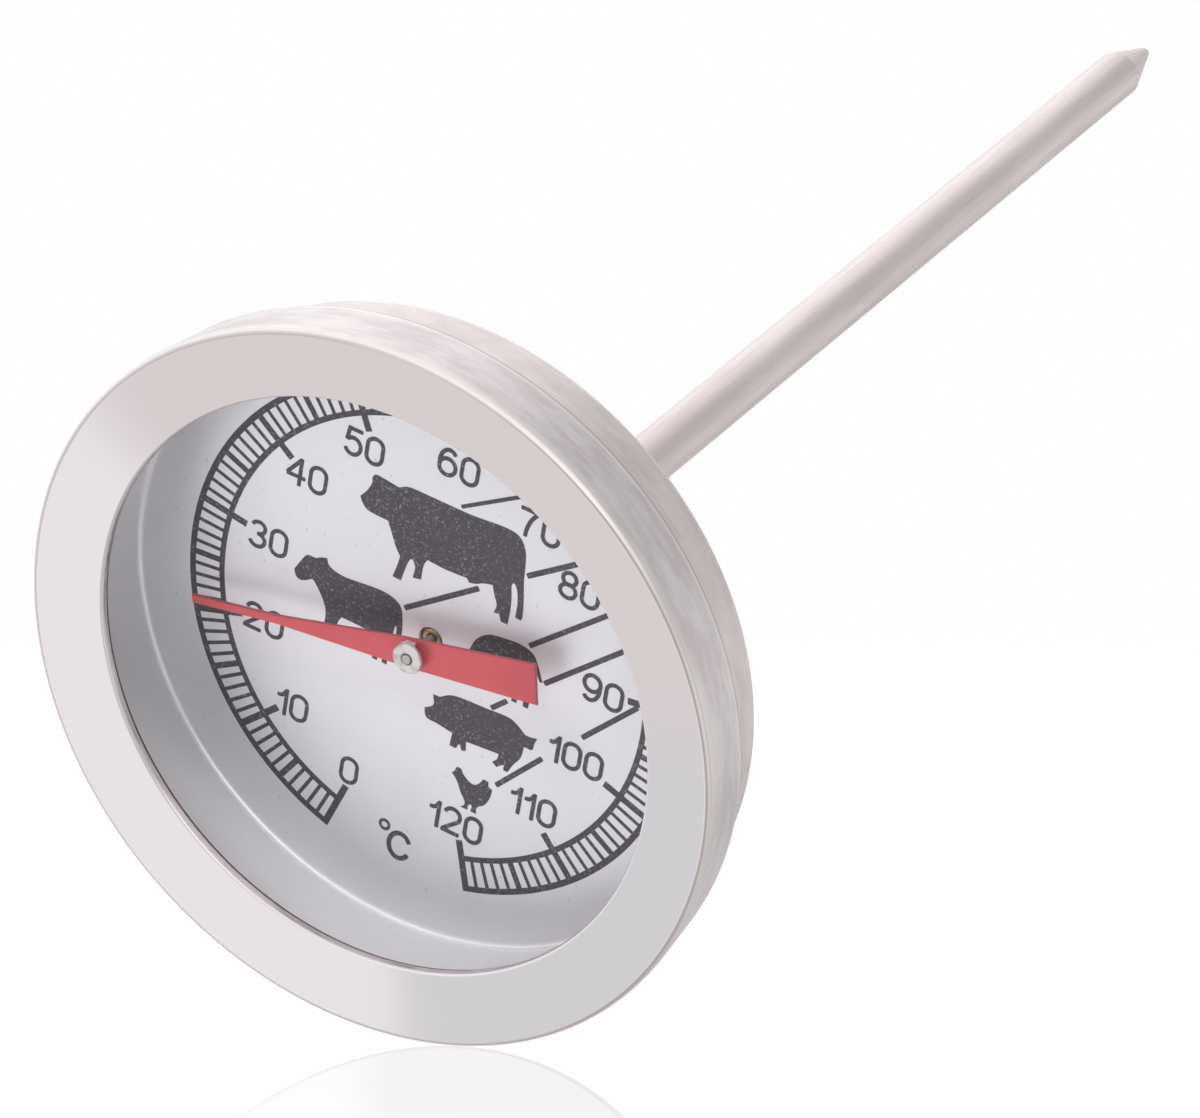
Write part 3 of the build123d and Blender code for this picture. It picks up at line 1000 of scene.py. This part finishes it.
def smooth_run(points):
    """A curve through points (Catmull-Rom), whose tangents are half the chord of the neighbours."""
    points = np.array(points, float)
    if len(points) == 2:
        return points[:1]
    padded = np.concatenate([2 * points[:1] - points[1:2], points, 2 * points[-1:] - points[-2:-1]])
    a, b, c, d = padded[:-3], padded[1:-2], padded[2:-1], padded[3:]
    t = (np.arange(curve_steps) / curve_steps)[None, :, None]
    a, b, c, d = (p[:, None, :] for p in (a, b, c, d))
    bend, twist = a - 2.5 * b + 2 * c - d / 2, 1.5 * (b - c) + (d - a) / 2
    return (b + t * (c - a) / 2 + t**2 * bend + t**3 * twist).reshape(-1, 2)


def silhouette(runs):
    """A filled figure from smooth runs that meet in corners, each going on from the end of the last."""
    before = runs[-1:] + runs[:-1]
    outline = np.concatenate([smooth_run(start[-1:] + run) for start, run in zip(before, runs)])
    if runs_clockwise(outline):
        outline = outline[::-1]
    return [(outline, np.arange(len(outline))[None, :])]


# Each figure's runs, the last of which comes back to where the first one starts
OX = [
    [(-6.6, 9.35), (-6.3, 10.1), (-6.35, 10.55)], [(-6.1, 10.88), (-5.4, 10.85), (-4.2, 10.7)],
    [(-3.4, 11.08), (-1.5, 11.12), (1.5, 11.13), (4.2, 11.36), (5.4, 11.15), (6, 10.3), (6.2, 9.1),
    (6.28, 7.9), (6.5, 6.4), (6.62, 5.2), (6.55, 4.75)], [(6.08, 4.8)], [(6.08, 5.9), (5.9, 6.9),
    (5.6, 7.38), (5.42, 7.1), (5.55, 6.3), (5.64, 5.2), (5.6, 3.95)], [(5.05, 3.98)], [(4.85, 4.5)],
    [(4.42, 4.42)], [(4.55, 5.1), (4.25, 5.8), (4, 6.5)], [(3.3, 6.3), (2.75, 6), (2.2, 5.85)],
    [(2, 6.12)], [(0.4, 6.02), (-1.2, 6.1)], [(-1.42, 5.5), (-1.45, 4.35)], [(-2.1, 4.22)],
    [(-2.05, 5.1), (-2.35, 5.62), (-2.6, 5.3), (-2.85, 4.2), (-2.95, 3.55)], [(-3.65, 3.6)],
    [(-3.45, 4.5), (-3.3, 5.4)], [(-3.8, 6.1), (-4.25, 7), (-4.65, 7.75)], [(-6.2, 7.83), (-6.75, 8.2),
    (-7.05, 8.7)],
]
SHEEP = [
    [(-11, 1.2), (-10.7, 1.8), (-10.4, 2.18), (-9.75, 2.22)], [(-9.3, 2.48), (-8.85, 2.62)],
    [(-8.72, 2.2)], [(-8.2, 1.92), (-7.2, 1.8), (-5.6, 1.97), (-4.3, 2.07), (-3.2, 1.9), (-2.6, 1.4),
    (-2.38, 0.6), (-2.25, -0.5), (-2.35, -1.3)], [(-2.65, -1.1), (-2.7, -0.3), (-2.85, -0.3),
    (-2.95, -1.2), (-3, -2.2), (-3.05, -3.6)], [(-3.45, -3.58)], [(-3.5, -2.7), (-3.65, -2.7),
    (-3.85, -3.6)], [(-4.25, -3.58)], [(-4.15, -2.4), (-4.5, -1.6)], [(-5.6, -1.52), (-7.05, -1.5)],
    [(-7.3, -2.1), (-7.35, -3.4)], [(-7.8, -3.4)], [(-7.85, -2.7), (-7.95, -3.5)], [(-8.4, -3.5)],
    [(-8.32, -2.2), (-8.45, -1.3), (-8.9, -0.5), (-9.5, 0.25), (-9.8, 0.42), (-10.2, 0.15),
    (-10.7, -0.05), (-11.1, 0.15), (-11.28, 0.6)],
]
CALF = [
    [(2.15, 0.15), (2.5, 0.3)], [(2.7, 0.55), (3.05, 0.65)], [(3.45, 1.7), (4.3, 2.5), (5.6, 2.8),
    (6.9, 2.9), (7.9, 2.6), (8.45, 1.8), (8.95, 0.7)], [(8.75, 0.65)], [(8.35, 1.15), (8.2, 0.4),
    (8.25, -0.8), (8.2, -1.85)], [(7.8, -1.85)], [(7.65, -0.9), (7.4, -0.7), (7.25, -1.85)],
    [(6.85, -1.82)], [(6.9, -0.8), (6.6, -0.3), (5.4, -0.25), (4.5, -0.4)], [(4.45, -1.75)],
    [(4.1, -1.75)], [(4, -0.9), (3.8, -0.9), (3.75, -1.8)], [(3.4, -1.8)], [(3.35, -0.8), (3, -0.25),
    (2.5, -0.2), (2, -0.4), (1.75, -0.1)],
]
PIG = [
    [(0.85, -5.25), (1.05, -4.9), (0.88, -4.2)], [(1.45, -4.15)], [(2.2, -3.65), (3.2, -3.45),
    (5, -3.36), (6.8, -3.24), (7.6, -3.5), (8.35, -4.03)], [(8.8, -4), (9.3, -3.88)], [(9.15, -4.4),
    (9.05, -4.95), (8.42, -5)], [(8.3, -6), (7.85, -6.8), (7.5, -7.62)], [(7.15, -7.62)], [(7.1, -7.2),
    (6.6, -7.62)], [(6.22, -7.35)], [(6.55, -6.95), (6.6, -6.5)], [(5.3, -6.62), (3.98, -6.75)],
    [(4.08, -7.5)], [(3.78, -7.65)], [(3.5, -7.2), (3.3, -7.65)], [(2.75, -7.65)], [(2.83, -6.58)],
    [(1.6, -6.38), (0.75, -6.32), (0.5, -6), (0.4, -5.55)],
]
HEN = [
    [(3.5, -9.45), (3.6, -9.12), (3.95, -9.1), (4.2, -9.45), (4.7, -9.8), (5.15, -9.88), (5.5, -9.6),
    (5.78, -9.1)], [(6.2, -9.12)], [(6.25, -9.5)], [(6.6, -9.65)], [(6.5, -10.4), (6.2, -11.1),
    (5.7, -11.55), (5.62, -11.9), (5.7, -12.15)], [(5.2, -12.15)], [(5.25, -11.7), (5.08, -11.62),
    (4.95, -11.8), (4.95, -12.15)], [(4.38, -12.15)], [(4.65, -11.85), (4.6, -11.5), (4.2, -10.95),
    (3.85, -10.3), (3.5, -9.9), (3.28, -9.75)],
]


def dial_print(finish):
    """Everything that is printed on the dial."""
    print_piece("scale_band", scale_band(), finish)
    numerals = [number_sheets(number, centre) for number, centre in NUMBER_PLACES.items()]
    print_piece("numerals", sum(numerals, []), finish)
    print_piece("degree_sign", celsius_sheets(), finish)
    lines = [ribbon(np.array([start, end]), width) for start, end, width in LEADER_LINES]
    print_piece("leader_lines", lines, finish)
    animals = {"ox": OX, "sheep": SHEEP, "calf": CALF, "pig": PIG, "hen": HEN}
    for animal, runs in animals.items():
        print_piece(f"{animal}_figure", silhouette(runs), finish)


# ---------------------------------------------------------------- floor, light and camera

# The viewer's right, up and place, and in metres the floor's half side and the lamps' distance
viewer_right = Vector((0.85235, 0.50178, 0.14735))
viewer_up = Vector((-0.38887, 0.41973, 0.82013))
viewer_place = Vector((0.16098, -0.32487, 0.24849))
floor_half = 3.0
lamp_distance = 0.8

# Soft patches on the cards: direction, spread in degrees, and what they add
SOFT_PATCHES = [
    ((0.35, -0.756, 0.553), 16, 0.40),
    ((0.65, 0.756, 0.0), 20, 0.12),
    ((0.03, 0.88, 0.47), 11, -0.14),
    ((0.42, 0.85, -0.30), 16, 0.17),
    ((-0.56, 0.83, 0.08), 16, 0.20),
    ((0.85, -0.52, -0.10), 25, 0.25),
]

# Degrees off the dial's axis and round it, radius in metres, and what it adds to white paint
LAMPS = {
    "key_lamp": (24.7, 236.5, 0.16, 0.22),
    "low_left_lamp": (48, 240, 0.22, 0.35),
    "low_right_lamp": (65, 305, 0.22, 0.18),
    "top_lamp": (40, 82, 0.22, 0.11),
    "top_rim_lamp": (79, 92, 0.06, 0.18),
    "top_left_lamp": (75, 120, 0.22, 0.16),
}


def add_floor():
    """Pale table, level for the viewer, that touches the lowest point of the bezel's rim."""
    rim = bpy.data.objects["bezel_ring_surface"].data.vertices
    foot = min((vertex.co for vertex in rim), key=viewer_up.dot)
    ahead = viewer_up.cross(viewer_right)
    signs = ((-1, -1), (1, -1), (1, 1), (-1, 1))
    corners = [viewer_right * (floor_half * a) + ahead * (floor_half * b) for a, b in signs]
    mesh = bpy.data.meshes.new("floor")
    mesh.from_pydata([tuple(corner) for corner in corners], [], [(0, 1, 2, 3)])
    mesh.materials.append(floor_white())
    floor = add_object("floor", mesh)
    floor.location = foot
    floor.visible_shadow = False
    floor.visible_glossy = False


@named_finish
def floor_white(tree):
    """White to the eye, with the object's shadow, and clear from below.

    Near the object it mirrors a little where it is seen along its face.
    """
    strength = tree.remap(tree.seen(), 0, 1, 0.2, 0.98)
    glow = tree.node("Emission", {"Color": (1, 1, 1), "Strength": strength})
    matt = tree.node("BsdfDiffuse", {"Color": (0.16, 0.16, 0.16)})
    away = tree.vector("LENGTH", tree.millimetres())
    share = tree.times(tree.remap(tree.slant(), 0.80, 0.90, 0.0, 0.52, smooth=True),
                       tree.remap(away, 45, 120, 1.0, 0.0, smooth=True))
    white = tree.node("AddShader", {0: glow, 1: matt})
    table = tree.blend(share, white, tree.mirror(0.03))
    below = tree.node("NewGeometry").outputs["Backfacing"]
    tree.surface(tree.blend(below, table, tree.node("BsdfTransparent")))


def facing(tree, direction, towards):
    """Cosine of the angle between a ray and a direction."""
    return tree.vector("DOT_PRODUCT", direction, tuple(Vector(towards).normalized()))


def lobe(tree, direction, towards, spread, strength):
    """A soft patch: strength times exp((cos a - 1) / (1 - cos spread)), a degrees off its middle."""
    off = tree.math("SUBTRACT", facing(tree, direction, towards), 1.0)
    fall = tree.math("EXPONENT", tree.math("DIVIDE", off, 1 - math.cos(math.radians(spread))))
    return tree.times(fall, strength)


def half_space(tree, direction, normal, soft):
    """1 on the side of a plane through the middle that its normal points to, 0 on the other."""
    return tree.remap(tree.vector("DOT_PRODUCT", direction, normal), -soft, soft, smooth=True)


def cap(tree, direction, towards, full, end):
    """1 within `full` degrees of a direction, falling to 0 at `end` degrees."""
    low, high = math.cos(math.radians(end)), math.cos(math.radians(full))
    return tree.remap(facing(tree, direction, towards), low, high, smooth=True)


def studio():
    """White to the eye; a soft even light on matt surfaces; and for metal to mirror, pale cards.

    The cards: a bright left side, a grey right side, a white ceiling and a white patch behind the
    object, all with soft patches on them; and in front of the dial a warm grey card below, and a
    cool grey one and a white one above.
    """
    world = bpy.data.worlds.new("studio")
    bpy.context.scene.world = world
    tree = Tree(world)
    direction = tree.vector("NORMALIZE", tree.node("TexCoord").outputs["Generated"])
    side = tree.vector("DOT_PRODUCT", direction, (-0.985, 0.0, 0.17))
    level = tree.remap(side, -0.35, 0.55, 0.58, 1.03, smooth=True)
    ceiling = tree.vector("DOT_PRODUCT", direction, (0.0, -0.21, 0.98))
    level = tree.math("MAXIMUM", level, tree.remap(ceiling, 0.35, 0.75, 0.0, 1.0, smooth=True))
    for towards, spread, strength in SOFT_PATCHES:
        level = tree.math("ADD", level, lobe(tree, direction, towards, spread, strength))
    grey = tree.node("CombineColor", {0: level, 1: level, 2: level})
    warm_grey, cool_grey, pale = (0.815, 0.795, 0.782), (0.756, 0.800, 0.805), (0.98, 1.0, 1.01)
    below = half_space(tree, direction, (0.273, 0.612, -0.743), 0.03)
    beside = half_space(tree, direction, (0.869, -0.483, 0.110), 0.02)
    front = tree.mix(below, tree.mix(beside, cool_grey, pale), warm_grey)
    mirrored = tree.mix(cap(tree, direction, (-0.35, -0.756, -0.553), 24, 30), grey, front)
    mirrored = tree.mix(cap(tree, direction, (-0.35, 0.756, -0.553), 9, 14), mirrored, (1, 1, 1))
    glossy = tree.node("LightPath").outputs["Is Glossy Ray"]
    colour = tree.mix(glossy, (0.11, 0.11, 0.115), mirrored)
    colour = tree.mix(tree.seen(), colour, (1, 1, 1))
    background = tree.node("Background", {"Color": colour, "Strength": 1.0})
    tree.node("OutputWorld", {"Surface": background})


def add_lamp(name, slant, turn, radius, share):
    """A round soft lamp, `slant` degrees off the dial's axis towards `turn`; metal doesn't mirror it.

    It adds `share` to a white surface that faces -Y: a disc of power P and radius r at distance d,
    seen at the angle a, gives P cos a / (pi^2 (d^2 + r^2)).
    """
    a, t = math.radians(slant), math.radians(turn)
    place = Vector((math.sin(a) * math.cos(t), -math.cos(a), math.sin(a) * math.sin(t)))
    light = bpy.data.lights.new(name, "AREA")
    light.shape = "DISK"
    light.size = 2 * radius
    light.energy = share * math.pi**2 * (lamp_distance**2 + radius**2) / math.cos(a)
    lamp = add_object(name, light)
    lamp.location = place * lamp_distance
    lamp.rotation_euler = place.to_track_quat("Z", "Y").to_euler()
    lamp.visible_camera = False
    lamp.visible_glossy = False


def add_camera():
    """A long lens above the dial and to its right."""
    back = viewer_right.cross(viewer_up)
    data = bpy.data.cameras.new("camera")
    data.lens = 191.2
    data.sensor_width = 36.0
    data.clip_start, data.clip_end = 0.01, 20.0
    camera = add_object("camera", data)
    turn = Matrix((viewer_right, viewer_up, back)).transposed().to_4x4()
    camera.matrix_world = Matrix.Translation(viewer_place) @ turn
    bpy.context.scene.camera = camera


# ---------------------------------------------------------------- the thermometer

def dress(node, finish):
    """Give a CAD node that stays its finish."""
    for slot in frame["nodes"][node].material_slots:
        slot.material = finish


bezel_ring(bezel_steel())
window_seal(seal_rubber())
glass_window(window_glass())
dial_pan(dial_paint())
dial_print(dial_ink())
case_back(case_steel())
stem_bush(bush_steel())
stem_finish = stem_steel()
stem_tube(stem_finish)
stem_tip(stem_finish)
spring_finish = spring_steel()
bush_washer(spring_finish)
spindle(spring_finish)
brass = guide_brass()
upper_guide(brass)
pointer(pointer_red())
pointer_hub(hub_aluminium())
for inner_node in ("middle_guide", "coil_anchor", "coil_cap"):
    dress(inner_node, brass)
dress("bimetal_coil", bimetal_strip())

add_floor()
studio()
for lamp_name, setting in LAMPS.items():
    add_lamp(lamp_name, *setting)
add_camera()
bpy.context.scene.view_settings.view_transform = "Standard"
